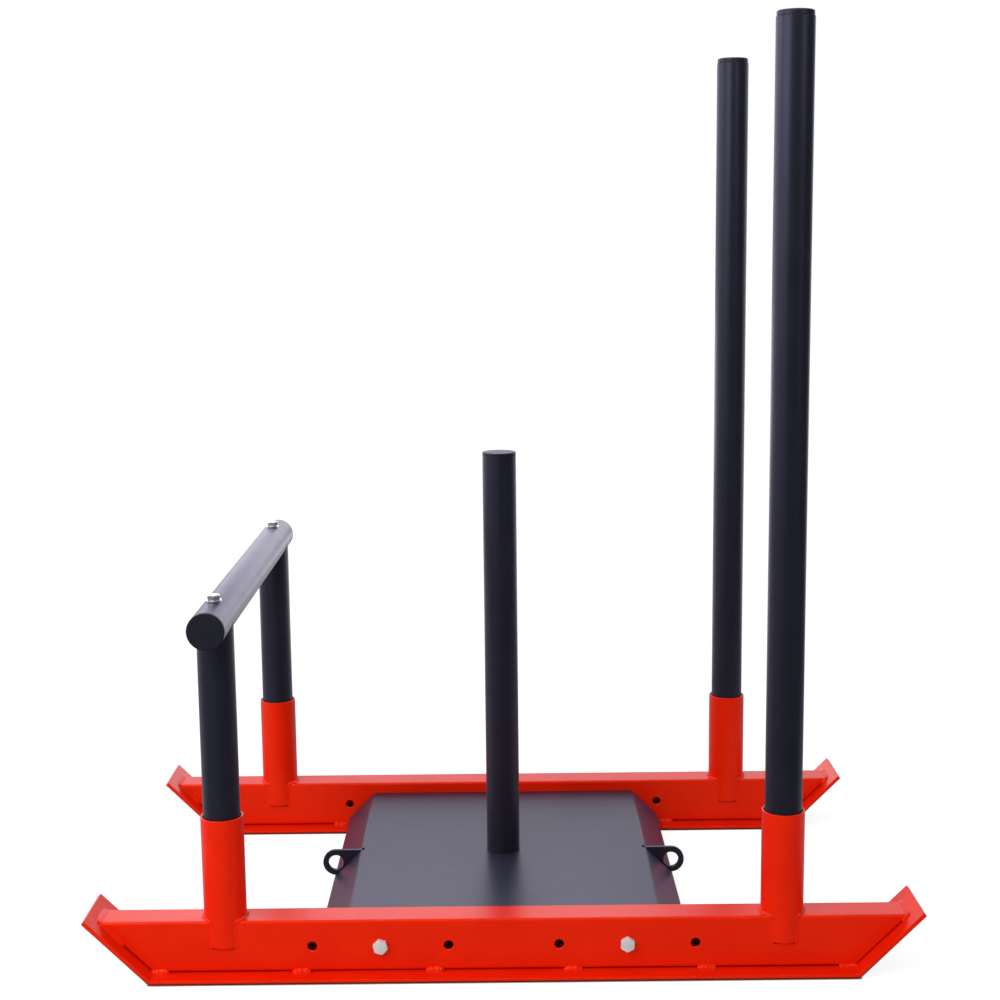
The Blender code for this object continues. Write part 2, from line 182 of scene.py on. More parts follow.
class Recipe:
    """A node tree in the making."""

    def __init__(self, owner: bpy.types.Material | bpy.types.World) -> None:
        """Empties the owner's tree.

        Args:
            owner: the material or world that the tree belongs to.
        """
        owner.use_nodes = True
        self.owner = owner
        self.tree = owner.node_tree
        self.tree.nodes.clear()

    def node(
        self, kind: str, settings: dict | None = None, sockets: dict | None = None, out: int | str = 0
    ) -> Term:
        """Adds one node.

        Args:
            kind: the node's type.
            settings: its own properties, which are set first.
            sockets: values or links for its inputs, by name or number.
            out: the output wanted.

        Returns:
            That output.
        """
        made = self.tree.nodes.new(kind)
        for name, value in (settings or {}).items():
            setattr(made, name, value)
        for name, value in (sockets or {}).items():
            if isinstance(value, Term):
                self.tree.links.new(value.socket, made.inputs[name])
            else:
                made.inputs[name].default_value = value
        return Term(self, made.outputs[out] if made.outputs else None)

    def coordinates(self) -> Term:
        """The place in the object's own frame, in metres."""
        return self.node("ShaderNodeTexCoord", out="Object")

    def axis(self, place: Term, name: str) -> Term:
        """The X, Y or Z of a vector."""
        return self.node("ShaderNodeSeparateXYZ", sockets={0: place}, out=name)

    def noise(self, place: Term, size: float, detail: float) -> Term:
        """Cloudy noise about 0.5, with lumps of this size in metres and this many finer layers."""
        sockets = {"Vector": place, "Scale": 1.0 / size, "Detail": detail}
        return self.node("ShaderNodeTexNoise", sockets=sockets)

    def blend(
        self, share: Term | float, first: Term | Colour, second: Term | Colour, kind: str = "MIX"
    ) -> Term:
        """Mixes two colours.

        Args:
            share: how much of the second.
            first: a colour or link.
            second: a colour or link.
            kind: the Mix node's blend type.

        Returns:
            The mixed colour.
        """
        colours = [c if isinstance(c, Term) else (*c, 1) for c in (first, second)]
        settings = {"data_type": "RGBA", "blend_type": kind}
        return self.node("ShaderNodeMix", settings, {0: share, 6: colours[0], 7: colours[1]}, out=2)

    def bump(self, height: Term, depth: float, under: Term | None = None) -> Term:
        """A bump.

        Args:
            height: its height, from 0 to 1.
            depth: the real height of 1, in metres.
            under: a coarser bump that it lies on.

        Returns:
            The normal.
        """
        sockets = {"Height": height, "Distance": depth, "Strength": 1.0}
        if under is not None:
            sockets["Normal"] = under
        return self.node("ShaderNodeBump", sockets=sockets)

    def surface(self, sockets: dict) -> bpy.types.Material:
        """Ends the tree in a Principled shader.

        Args:
            sockets: what the shader's inputs are.

        Returns:
            The material.
        """
        shader = self.node("ShaderNodeBsdfPrincipled", sockets=sockets)
        self.node("ShaderNodeOutputMaterial", sockets={"Surface": shader})
        return self.owner

    def noticed(self) -> Term:
        """1 for rays that show the background: from the camera, a reflection or through glass."""
        names = [f"Is {ray} Ray" for ray in ("Camera", "Glossy", "Transmission")]
        return reduce(Term.larger, [self.node("ShaderNodeLightPath", out=name) for name in names])


def toned(colour: Colour, factor: float) -> Colour:
    """A colour made darker or paler."""
    return tuple(part * factor for part in colour)


# Finishes

HAZE_ROUGHNESS = 0.35


@dataclass(frozen=True)
class PowderCoat:
    """Sprayed and baked paint: a fine orange-peel surface with a soft shine."""

    slot: Slot
    colour: Colour
    deep: Colour
    shine: Colour
    roughness: float
    haze: float = 0.0
    haze_tint: Colour = (1.0, 1.0, 1.0)
    # Painted shade along the shoes' sliding edge: how dark it leaves the base colour, the heights over which
    # it fades out, and the slope it follows up the bent ends.
    sole_shade_share: float = 1.0
    sole_shade_edges: Pair = (0.0018, 0.0030)
    sole_slope: float = 0.97
    cloud_size: float = 0.060
    cloud_edges: Pair = (0.30, 0.70)
    grain_size: float = 0.005
    grain_tones: Pair = (0.95, 1.05)
    grain_roughness: float = 0.03
    patch_size: float = 0.035
    patch_roughness: float = 0.06
    peel_size: float = 0.0017
    peel_depth: float = 0.000018
    sag_size: float = 0.022
    sag_depth: float = 0.00006

    def material(self) -> bpy.types.Material:
        """Mixes the paint.

        Returns:
            Its material.
        """
        recipe = Recipe(bpy.data.materials.new(self.slot.value))
        place = recipe.coordinates()
        cloud = recipe.noise(place, self.cloud_size, 3.0).step(*self.cloud_edges)
        grain = recipe.noise(place, self.grain_size, 2.0)
        colour = recipe.blend(cloud, self.deep, self.colour)
        fine = recipe.blend(grain, *((tone,) * 3 for tone in self.grain_tones))
        colour = recipe.blend(1.0, colour, fine, "MULTIPLY")
        # Painted shade: the base colour is darkened over the lowest couple of millimetres above the sliding
        # face, standing in for the contact shadow at the floor.
        if self.sole_shade_share < 1:
            unshaded = self.above_sole(recipe, place).step(*self.sole_shade_edges)
            painted_sole_shade = recipe.blend(unshaded, (self.sole_shade_share,) * 3, (1, 1, 1))
            colour = recipe.blend(1.0, colour, painted_sole_shade, "MULTIPLY")
        sag = recipe.bump(recipe.noise(place, self.sag_size, 1.0), self.sag_depth)
        normal = recipe.bump(recipe.noise(place, self.peel_size, 1.5), self.peel_depth, sag)
        patches = recipe.noise(place, self.patch_size, 4.0)
        uneven = (patches - 0.5) * self.patch_roughness
        return recipe.surface(
            {
                "Base Color": colour,
                "Roughness": self.roughness + uneven + (grain - 0.5) * self.grain_roughness,
                "Specular Tint": (*self.shine, 1),
                "Sheen Weight": self.haze,
                "Sheen Roughness": HAZE_ROUGHNESS,
                "Sheen Tint": (*self.haze_tint, 1),
                "Normal": normal,
            }
        )

    def above_sole(self, recipe: Recipe, place: Term) -> Term:
        """How far above the shoes' sliding face a place is, in metres."""
        past_bend = (abs(recipe.axis(place, "X")) - SHOE_FLAT_HALF).larger(0.0)
        return recipe.axis(place, "Z") - past_bend * self.sole_slope


@dataclass(frozen=True)
class MouldedPlastic:
    """A black cap: finely textured by its mould."""

    slot: Slot = Slot.PLASTIC
    colour: Colour = (0.0095, 0.0100, 0.0135)
    shine: Colour = (0.72, 0.72, 1.0)
    gloss: float = 0.40
    haze: float = 0.08
    haze_tint: Colour = (0.45, 0.45, 1.0)
    roughness: float = 0.42
    grain_size: float = 0.0009
    grain_depth: float = 0.000020
    flow_size: float = 0.012
    flow_depth: float = 0.00006
    flow_tones: Pair = (0.85, 1.2)
    flow_roughness: float = 0.14

    def material(self) -> bpy.types.Material:
        """Mixes the plastic.

        Returns:
            Its material.
        """
        recipe = Recipe(bpy.data.materials.new(self.slot.value))
        place = recipe.coordinates()
        grain = recipe.noise(place, self.grain_size, 2.0)
        flow = recipe.noise(place, self.flow_size, 2.0)
        return recipe.surface(
            {
                "Base Color": recipe.blend(flow, *(toned(self.colour, tone) for tone in self.flow_tones)),
                "Roughness": self.roughness + (flow - 0.5) * self.flow_roughness,
                "Specular IOR Level": self.gloss,
                "Specular Tint": (*self.shine, 1),
                "Sheen Weight": self.haze,
                "Sheen Roughness": HAZE_ROUGHNESS,
                "Sheen Tint": (*self.haze_tint, 1),
                "Normal": recipe.bump(grain, self.grain_depth, recipe.bump(flow, self.flow_depth)),
            }
        )


@dataclass(frozen=True)
class ZincPlate:
    """Zinc on forged steel: chalky on the deck's bolts, and kept bright on the handle's by hands."""

    slot: Slot = Slot.ZINC
    colour: Colour = (0.86, 0.86, 0.83)
    cool: Colour = (0.78, 0.80, 0.82)
    warm: Colour = (0.80, 0.77, 0.66)
    roughness: float = 0.22
    chalky_metal: float = 0.30
    bright_metal: float = 0.92
    hand_height: Pair = (0.2, 0.3)
    tint_size: float = 0.009
    tint_edges: Pair = (0.35, 0.65)
    blotch_size: float = 0.0022
    blotch_edges: Pair = (0.55, 0.80)
    blotch_share: float = 0.6
    blotch_roughness: float = 0.10
    blotch_depth: float = 0.00001
    dent_size: float = 0.0055
    dent_depth: float = 0.00004

    def material(self) -> bpy.types.Material:
        """Mixes the plating.

        Returns:
            Its material.
        """
        recipe = Recipe(bpy.data.materials.new(self.slot.value))
        place = recipe.coordinates()
        tint = recipe.noise(place, self.tint_size, 2.0)
        blotch = recipe.noise(place, self.blotch_size, 3.0)
        colour = recipe.blend(tint.step(*self.tint_edges), self.cool, self.colour)
        colour = recipe.blend(blotch.step(*self.blotch_edges) * self.blotch_share, colour, self.warm)
        roughness = self.roughness + (blotch - 0.5) * self.blotch_roughness
        dents = recipe.bump(recipe.noise(place, self.dent_size, 1.0), self.dent_depth)
        normal = recipe.bump(blotch, self.blotch_depth, dents)
        handled = recipe.axis(place, "Z").step(*self.hand_height)
        metal = self.chalky_metal + handled * (self.bright_metal - self.chalky_metal)
        return recipe.surface(
            {"Base Color": colour, "Metallic": metal, "Roughness": roughness, "Normal": normal}
        )


# The red coat darkens its base colour along the shoes' sliding edge: painted shade.
RED_COAT = PowderCoat(
    Slot.RED, (0.80, 0.014, 0.0006), (0.76, 0.011, 0.0004), (1.0, 0.40, 0.18), 0.305, sole_shade_share=0.12
)
BLACK_COAT = PowderCoat(
    Slot.BLACK,
    (0.0126, 0.0131, 0.0190),
    (0.0108, 0.0112, 0.0168),
    (0.66, 0.65, 1.0),
    0.35,
    haze=0.14,
    haze_tint=(0.45, 0.45, 1.0),
)


# Shapes


def circle(sides: int) -> list[Pair]:
    """Points on a circle of radius 1."""
    angles = [2 * math.pi * i / sides for i in range(sides)]
    return [(math.cos(a), math.sin(a)) for a in angles]


def arc(centre: Pair, radius: float, start: float, end: float, steps: int) -> list[Pair]:
    """Points on an arc, with both its ends; the angles are in degrees."""
    angles = [math.radians(start + (end - start) * i / steps) for i in range(steps + 1)]
    return [(centre[0] + radius * math.cos(a), centre[1] + radius * math.sin(a)) for a in angles]


def eased_rim(radius: float, low: float, high: float, ease: float, steps: int) -> list[Pair]:
    """The outside of a turned piece from the top down, with both its edges rounded."""
    top = arc((radius - ease, high - ease), ease, 90, 0, steps)
    return top + arc((radius - ease, low + ease), ease, 0, -90, steps)


def folded_strip(
    half: float, run: float, base: float, rise: int, thickness: float, radius: float
) -> list[Pair]:
    """Side view of a flat bar bent at 45 degrees at both ends, symmetric about x = 0.

    Args:
        half: half the outer face's straight stretch.
        run: how far each end goes out, and up or down.
        base: the outer face's height.
        rise: 1 where the ends turn up, -1 where they turn down.
        thickness: of the bar.
        radius: inside each bend.

    Returns:
        The outline, as x and z.
    """
    steps = 10
    outer = radius + thickness
    centre = (half - outer * math.tan(HALF_BEND), base + rise * outer)
    tip_x, tip_z = half + run, base + rise * run
    slope = thickness / math.sqrt(2)
    first = -90 * rise
    last = first + 45 * rise
    right = arc(centre, outer, first, last, steps)
    right += [(tip_x, tip_z), (tip_x - slope, tip_z + rise * slope)]
    right += arc(centre, radius, last, first, steps)
    return right + [(-x, z) for x, z in reversed(right)]


def rounded_box(half_width: float, low: float, high: float, radius: float) -> list[Pair]:
    """A rectangle with round corners.

    Args:
        half_width: half its width.
        low: its lowest edge.
        high: its highest edge.
        radius: of the corners.

    Returns:
        The outline.
    """
    x, top, bottom = half_width - radius, high - radius, low + radius
    corners = [(x, top, 0), (-x, top, 90), (-x, bottom, 180), (x, bottom, 270)]
    return [p for cx, cz, a in corners for p in arc((cx, cz), radius, a, a + 90, 6)]


def on_side(sign: int) -> Matrix:
    """A frame whose Z lies along -Y for 1, and along +Y for -1."""
    return Matrix.Rotation(math.radians(90 * sign), 4, "X")


class Shape:
    """A mesh in the making."""

    def __init__(self) -> None:
        """Starts with nothing."""
        self.mesh = bmesh.new()

    def loop(self, points: list[Point]) -> Row:
        """Adds a row of corners at these points."""
        return [self.mesh.verts.new(point) for point in points]

    def skin(self, first: Row, second: Row) -> None:
        """Joins two closed rows of corners, either of which may be a single corner.

        Args:
            first: one row.
            second: the other.
        """
        count = max(len(first), len(second))
        for i in range(count):
            here, there = ([row[k % len(row)] for row in (first, second)] for k in (i, (i + 1) % count))
            self.mesh.faces.new(list(dict.fromkeys((here[0], there[0], there[1], here[1]))))

    def skins(self, rows: list[Row], closed: bool = False) -> None:
        """Joins each row to the next, and in a closed shape the last to the first."""
        for first, second in zip(rows, rows[1:] + rows[: int(closed)]):
            self.skin(first, second)

    def turned(self, profile: list[Pair], where: Matrix, sides: int = TURNED_SIDES) -> "Shape":
        """Turns a profile about its frame's Z. It runs from axis to axis, or else closes on itself.

        Args:
            profile: radius and height of each point.
            where: the frame it is turned in.
            sides: how many sides the piece has.

        Returns:
            The shape.
        """
        turns = circle(sides)
        rows = []
        for radius, height in profile:
            points = [(radius * c, radius * s, height) for c, s in (turns if radius > 0 else turns[:1])]
            rows.append(self.loop([where @ Vector(p) for p in points]))
        self.skins(rows, closed=profile[0][0] > 0)
        return self

    def prism(self, outline: list[Pair], low: float, high: float) -> "Shape":
        """Sweeps an outline in the XZ plane along Y.

        Args:
            outline: its points.
            low: the first Y.
            high: the last Y.

        Returns:
            The shape.
        """
        rows = [self.loop([(x, y, z) for x, z in outline]) for y in (low, high)]
        self.skin(*rows)
        for row in rows:
            self.mesh.faces.new(row)
        return self

    def eased(self, width: float, steps: int, angle: float = 40.0) -> "Shape":
        """Rounds the sharp edges.

        Args:
            width: how much of each face the rounding takes.
            steps: how many faces it has.
            angle: the least angle that counts as sharp, in degrees.

        Returns:
            The shape.
        """
        bmesh.ops.recalc_face_normals(self.mesh, faces=self.mesh.faces)
        least = math.radians(angle)
        edges = [e for e in self.mesh.edges if e.is_manifold and e.calc_face_angle() > least]
        form = {"profile": 0.5, "affect": "EDGES", "clamp_overlap": True}
        bmesh.ops.bevel(self.mesh, geom=edges, offset=width, segments=steps, **form)
        return self

    def holder(self, name: str) -> bpy.types.Object:
        """The shape as an object that isn't a piece yet.

        Args:
            name: the object's name.

        Returns:
            The object.
        """
        bmesh.ops.recalc_face_normals(self.mesh, faces=self.mesh.faces)
        data = bpy.data.meshes.new(name)
        self.mesh.to_mesh(data)
        self.mesh.free()
        obj = bpy.data.objects.new(name, data)
        bpy.context.scene.collection.objects.link(obj)
        return obj

    def cut(self, cutters: list["Shape"]) -> "Shape":
        """Cuts other shapes out of this one.

        Args:
            cutters: the shapes to cut out.

        Returns:
            What is left.
        """
        obj = self.holder("blank")
        tools = [cutter.holder("cutter") for cutter in cutters]
        for tool in tools:
            modifier = obj.modifiers.new("cut", "BOOLEAN")
            modifier.object = tool
            modifier.solver = "EXACT"
        graph = bpy.context.evaluated_depsgraph_get()
        left = Shape()
        left.mesh.from_mesh(obj.evaluated_get(graph).data)
        for used in (obj, *tools):
            bpy.data.objects.remove(used, do_unlink=True)
        bmesh.ops.remove_doubles(left.mesh, verts=left.mesh.verts, dist=0.000005)
        bmesh.ops.dissolve_degenerate(left.mesh, edges=left.mesh.edges, dist=0.000005)
        return left


def plug(radius: float, low: float, high: float, where: Matrix, sides: int = TURNED_SIDES) -> Shape:
    """A cylinder about its frame's Z, from one height to another."""
    return Shape().turned([(0, low), (radius, low), (radius, high), (0, high)], where, sides)


def drill(radius: float, face: float, broken: float, middle: Point, sides: int) -> Shape:
    """A cutter for a hole along Y, with its edges broken.

    Args:
        radius: of the hole.
        face: how far the faces are from its middle.
        broken: how much of each edge goes.
        middle: where its middle is.
        sides: how many sides it has.

    Returns:
        The cutter.
    """
    past = 0.004
    flare = [(radius + broken + past, face + past), (radius, face - broken)]
    profile = [(0, face + past), *flare, *[(r, -z) for r, z in reversed(flare)], (0, -face - past)]
    return Shape().turned(profile, Matrix.Translation(middle) @ on_side(1), sides)


def sheet(low: Pair, high: Pair, where: Matrix) -> Shape:
    """A flat rectangle on its frame's XY plane.

    Args:
        low: its first corner.
        high: the opposite corner.
        where: its frame.

    Returns:
        The shape.
    """
    shape = Shape()
    corners = [(low[0], low[1], 0), (high[0], low[1], 0), (high[0], high[1], 0), (low[0], high[1], 0)]
    shape.mesh.faces.new(shape.loop([where @ Vector(corner) for corner in corners]))
    return shape


class Bench:
    """Where finished pieces are dressed and put on their bodies."""

    sharp_angle: float = math.radians(38)
    shading_weight: int = 80

    def __init__(self, finishes: tuple[PowderCoat | MouldedPlastic | ZincPlate, ...]) -> None:
        """Makes the material of each finish once."""
        self.materials = {finish.slot: finish.material() for finish in finishes}

    def keep(self, node: str, slot: Slot) -> None:
        """Gives a CAD node its finish, and leaves its shape alone.

        Args:
            node: the node's name.
            slot: the finish's slot.
        """
        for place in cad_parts[node].material_slots:
            place.material = self.materials[slot]
        LOG.info("kept %s", node)

    def piece(self, name: str, shape: Shape, body: Body, slot: Slot, replaces: tuple[str, ...] = ()) -> None:
        """Makes a finished piece.

        Args:
            name: its name.
            shape: its shape, in world place.
            body: what it rides on.
            slot: its finish.
            replaces: the CAD nodes that it stands for.
        """
        obj = shape.holder(name)
        data = bmesh.new()
        data.from_mesh(obj.data)
        for face in data.faces:
            face.smooth = True
        for edge in data.edges:
            edge.smooth = not edge.is_manifold or edge.calc_face_angle() < self.sharp_angle
        data.to_mesh(obj.data)
        data.free()
        modifier = obj.modifiers.new("even shading", "WEIGHTED_NORMAL")
        modifier.keep_sharp = True
        modifier.weight = self.shading_weight
        obj.data.materials.append(self.materials[slot])
        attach(obj, body.value)
        if replaces:
            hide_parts(*replaces)
        LOG.info("made %s: %d faces", name, len(obj.data.polygons))

    def stand_in(self, node: str, shape: Shape, body: Body, slot: Slot) -> None:
        """Makes the finished piece that stands for one CAD node, and is named for it."""
        self.piece(f"finished_{node}", shape, body, slot, (node,))


@dataclass(frozen=True)
class WeldBead:
    """A kind of weld run, of metal that sinks in both pieces."""

    half_width: float
    crown: float
    ripple: float
    pitch: float = 0.0022
    sway: float = 1.0
    swelling: float = 0.6
    wander: float = 0.35
    root: float = 0.5
    end_length: float = 1.5
    end_width: float = 0.06
    rows_per_pitch: int = 5
    least_rows: int = 10
    drift: int = 12

    def lay(self, shape: Shape, path: list[Point], facing: list[Point], seed: int) -> None:
        """Lays a run along a joint.

        Args:
            shape: the shape that it becomes part of.
            path: the points that it follows.
            facing: which way it faces at each of them; the last one holds for the rest.
            seed: for its unevenness.
        """
        chance = random.Random(seed)
        points = [Vector(p) for p in path]
        faces = [Vector(facing[min(k, len(facing) - 1)]) for k in range(len(points))]
        runs = [(b - a).length for a, b in zip(points, points[1:])]
        total = sum(runs)
        count = max(self.least_rows, round(total / self.pitch * self.rows_per_pitch))
        sways = [(chance.uniform(-1, 1), chance.uniform(-1, 1)) for _ in range(count + self.drift)]
        section = circle(BEAD_SIDES)
        rows = []
        for i in range(count + 1):
            along = total * i / count
            middle, ahead, out = self.on_path(points, faces, runs, along)
            across = ahead.cross(out).normalized()
            out = across.cross(ahead)
            near = sways[i : i + self.drift]
            lean, swell = (self.sway * sum(pair[k] for pair in near) / self.drift for k in (0, 1))
            reach = min(1.0, min(along, total - along) / (self.end_length * self.half_width))
            taper = max(self.end_width, math.sqrt(max(0.0, 1 - (1 - reach) ** 2)))
            beat = 1 - (along / self.pitch + lean) % 1.0
            width = self.half_width * taper * (1 + self.swelling * swell)
            crown = self.crown * taper * (1 + swell + self.ripple * (beat - 0.5))
            middle = middle + across * self.half_width * self.wander * lean
            heights = [crown if s > 0 else self.root * width for _, s in section]
            row = [middle + across * c * width + out * s * high for (c, s), high in zip(section, heights)]
            rows.append(shape.loop(row))
        shape.skins(rows)
        shape.mesh.faces.new(rows[0])
        shape.mesh.faces.new(rows[-1])

    @staticmethod
    def on_path(
        points: list[Vector], faces: list[Vector], runs: list[float], along: float
    ) -> tuple[Vector, Vector, Vector]:
        """A place on a path.

        Args:
            points: the path's points.
            faces: the way that the bead faces at each.
            runs: the length of each stretch.
            along: how far along the path.

        Returns:
            The place, the direction of the path and the way that the bead faces there.
        """
        step = 0
        while step < len(runs) - 1 and along > runs[step]:
            along -= runs[step]
            step += 1
        share = min(1.0, along / runs[step])
        ahead = (points[step + 1] - points[step]).normalized()
        return points[step].lerp(points[step + 1], share), ahead, faces[step].lerp(faces[step + 1], share)


SHOE_STITCH = WeldBead(0.0062, 0.0036, 0.12, 0.0034)
BEAM_END_RUN = WeldBead(0.0072, 0.0012, 0.01, 0.0045, 0.45)
BEAM_CORNER_RUN = WeldBead(0.0042, 0.0011, 0.0, sway=0.3)
SOCKET_FILLET = WeldBead(0.0028, 0.0016, 0.30)
SOCKET_BULGE_RUN = WeldBead(0.0026, 0.0008, 0.5)


# Sub-assemblies


@dataclass
class SkidRunner:
    """One skid: a bent shoe, the drilled beam on it, and the welds between them."""

    side: Side
    rise: float = 0.0875
    shoe_width: float = 0.100
    shoe_ease: float = 0.0009
    bend_radius: float = 0.003
    wall: float = 0.003
    edge_radius: float = 0.004
    holes: tuple[float, ...] = (0.075, 0.1675, 0.260)
    hole_radius: float = 0.0065
    countersink: float = 0.0007
    stitches: tuple[float, ...] = (0.094, 0.275, 0.468)
    stitch_length: float = 0.0265
    stitch_out: float = 0.0002
    stitch_lift: float = 0.0012
    end_weld_short: float = 0.0004
    corner_welds: Pair = (0.032, 0.008)
    corner_weld_drop: float = 0.001
    end_gap: float = 0.0018
    seat_gap: float = 0.0018

    @property
    def y(self) -> float:
        """Where the runner's middle is."""
        return self.side.value * RUNNER_Y

    @property
    def foot(self) -> float:
        """How far out the beam's sloping end would meet the floor."""
        inner_bend = SHOE_FLAT_HALF - SHOE_THICKNESS * math.tan(HALF_BEND)
        return inner_bend - SHOE_THICKNESS - self.end_gap * math.sqrt(2)

    def build(self, bench: Bench) -> None:
        """Makes the shoe, the beam and the welds.

        Args:
            bench: where they are finished.
        """
        word = self.side.word
        bench.piece(f"shoe_{word}", self.shoe(), Body.CHASSIS, Slot.RED, (f"skid_shoe_{word}",))
        bench.piece(f"beam_{word}", self.beam(), Body.CHASSIS, Slot.RED, (f"runner_beam_{word}",))
        bench.piece(f"beam_welds_{word}", self.welds(), Body.CHASSIS, Slot.RED)

    def shoe(self) -> Shape:
        """Makes the flat bar that slides on the floor.

        Returns:
            The shape.
        """
        outline = folded_strip(SHOE_FLAT_HALF, self.rise, 0, 1, SHOE_THICKNESS, self.bend_radius)
        half = self.shoe_width / 2
        return Shape().prism(outline, self.y - half, self.y + half).eased(self.shoe_ease, 3)

    def beam(self) -> Shape:
        """Makes the rectangular tube, with its sloping ends, bolt holes and socket openings.

        Returns:
            The shape.
        """
        shape = Shape()
        bore = BEAM_HALF_WIDTH - self.wall
        outer = rounded_box(BEAM_HALF_WIDTH, BEAM_BOTTOM, BEAM_TOP, self.edge_radius)
        inner = rounded_box(bore, BEAM_BOTTOM + self.wall, BEAM_TOP - self.wall, self.edge_radius - self.wall)
        rows = []
        for sign in (-1, 1):
            for section in (outer, inner):
                rows.append(shape.loop([(sign * (self.foot + z), self.y + w, z) for w, z in section]))
        for first, second in ((0, 2), (1, 3), (0, 1), (2, 3)):
            shape.skin(rows[first], rows[second])
        return shape.cut(self.bolt_holes() + self.socket_openings())

    def bolt_holes(self) -> list[Shape]:
        """Cutters for the holes through both walls, with their edges broken."""
        middles = [(s * x, self.y, HOLE_HEIGHT) for x in self.holes for s in (-1, 1)]
        return [drill(self.hole_radius, BEAM_HALF_WIDTH, self.countersink, m, SMALL_SIDES) for m in middles]

    def socket_openings(self) -> list[Shape]:
        """Cutters for the two sockets."""
        places = [Matrix.Translation((s * POST_X, self.y, 0)) for s in (-1, 1)]
        return [plug(SOCKET_RADIUS + GAP, SOCKET_BOTTOM - self.seat_gap, BEAM_TOP + 0.01, p) for p in places]

    def welds(self) -> Shape:
        """Lays the stitches along the shoe, and the runs where the beam meets its upturned ends.

        Returns:
            The beads.
        """
        shape = Shape()
        seed = 40 if self.side is Side.LEFT else 80
        half = self.stitch_length / 2
        height = SHOE_THICKNESS + self.stitch_lift
        for face in (-1, 1):
            edge = self.y + face * (BEAM_HALF_WIDTH + self.stitch_out)
            for x in [s * x for x in self.stitches for s in (-1, 1)]:
                seed += 1
                path = [(x - half, edge, height), (x + half, edge, height)]
                SHOE_STITCH.lay(shape, path, [(0, face, 1)], seed)
        half = BEAM_HALF_WIDTH - self.end_weld_short
        for sign in (-1, 1):
            seed += 1
            x = sign * (self.foot + BEAM_TOP)
            path = [(x, self.y - half, BEAM_TOP), (x, self.y + half, BEAM_TOP)]
            BEAM_END_RUN.lay(shape, path, [(-sign * math.sin(HALF_BEND), 0, math.cos(HALF_BEND))], seed)
            run = self.corner_welds[0 if sign < 0 else 1]
            for face in (-1, 1):
                seed += 1
                side = self.y + face * BEAM_HALF_WIDTH
                path = [(x, side, BEAM_TOP - self.corner_weld_drop), (x - sign * run, side, BEAM_TOP - run)]
                BEAM_CORNER_RUN.lay(shape, path, [(-sign * 0.5, face, 0.5)], seed)
        return shape


@dataclass
class PostSocket:
    """A short tube welded into the beam, in which a post stands."""

    side: Side
    end: End
    wall: float = 0.003
    floor: float = 0.004
    rim_radius: float = 0.0011
    fillet_out: float = 0.0006
    fillet_lift: float = 0.0004
    fillet_angle: int = 49
    fillet_step: int = 7
    fillet_corner: Pair = (0.0008, 0.0002)
    fillet_drops: Pair = (0.0045, 0.0020)
    bulge_corner: Pair = (0.0004, 0.0001)
    bulge_ends: Pair = (0.0026, 0.004)

    @property
    def middle(self) -> Pair:
        """Where the socket's axis is."""
        return self.end.value * POST_X, self.side.value * RUNNER_Y

    def corner(self, across: int, face: int, shift: Pair) -> Pair:
        """Where the tube comes out of a face of the beam.

        Args:
            across: the sign of the tube's edge, along X.
            face: the sign of the beam's face, along Y.
            shift: how far the place is moved, out along X and in along Y.

        Returns:
            Its X and Y.
        """
        x, y = self.middle
        reach = math.sqrt(SOCKET_RADIUS**2 - BEAM_HALF_WIDTH**2)
        return x + across * (reach + shift[0]), y + face * (BEAM_HALF_WIDTH - shift[1])

    def build(self, bench: Bench) -> None:
        """Makes the socket and its welds.

        Args:
            bench: where they are finished.
        """
        word = "handle_socket" if self.end is End.FRONT else "tall_post_socket"
        name = f"{word}_{self.side.word}"
        bench.stand_in(name, self.cup(), Body.CHASSIS, Slot.RED)
        bench.piece(f"{name}_welds", self.welds(), Body.CHASSIS, Slot.RED)

    def cup(self) -> Shape:
        """Makes the tube with its floor and its eased rim.

        Returns:
            The shape.
        """
        inner, ease = SOCKET_RADIUS - self.wall, self.rim_radius
        floor = SOCKET_BOTTOM + self.floor
        profile = [(0, floor), (inner, floor)]
        profile += arc((inner + ease, SOCKET_TOP - ease), ease, 180, 90, 4)
        profile += eased_rim(SOCKET_RADIUS, SOCKET_BOTTOM, SOCKET_TOP, ease, 4)
        profile += [(0, SOCKET_BOTTOM)]
        return Shape().turned(profile, Matrix.Translation((*self.middle, 0)))

    def welds(self) -> Shape:
        """Lays fillets on the beam's top, and smooth runs down the edges of the tube's bulge on each face.

        Returns:
            The beads.
        """
        shape = Shape()
        x, y = self.middle
        seed = 200 + 10 * self.end.value + 20 * self.side.value
        ring = SOCKET_RADIUS + self.fillet_out
        below, above = self.bulge_ends
        for across in (-1, 1):
            seed += 1
            near, far = (self.corner(across, face, self.fillet_corner) for face in (-1, 1))
            path = [(*near, BEAM_TOP - drop) for drop in self.fillet_drops]
            facing = [(across * 0.6, -1.0, 0.2), (across * 0.6, -0.9, 0.6)]
            for angle in range(-self.fillet_angle, self.fillet_angle + 1, self.fillet_step):
                c, s = across * math.cos(math.radians(angle)), math.sin(math.radians(angle))
                path.append((x + ring * c, y + ring * s, BEAM_TOP + self.fillet_lift))
                facing.append((c, s, 1.0))
            path += [(*far, BEAM_TOP - drop) for drop in reversed(self.fillet_drops)]
            facing += [(across * 0.6, 0.9, 0.6), (across * 0.6, 1.0, 0.2)]
            SOCKET_FILLET.lay(shape, path, facing, seed)
            for face in (-1, 1):
                seed += 1
                edge = self.corner(across, face, self.bulge_corner)
                path = [(*edge, SOCKET_BOTTOM - below), (*edge, BEAM_TOP - above)]
                SOCKET_BULGE_RUN.lay(shape, path, [(across * 0.3, face, 0)], seed)
        return shape


def tube_profile(low: float, high: float) -> list[Pair]:
    """A post tube's wall, with its cut edges eased.

    Args:
        low: its lower end.
        high: its upper end.

    Returns:
        Radius and height of each point.
    """
    ease = 0.0005
    inner = POST_RADIUS - POST_WALL + ease
    inside = arc((inner, low + ease), ease, 270, 180, 3) + arc((inner, high - ease), ease, 180, 90, 3)
    return eased_rim(POST_RADIUS, low, high, ease, 3) + inside


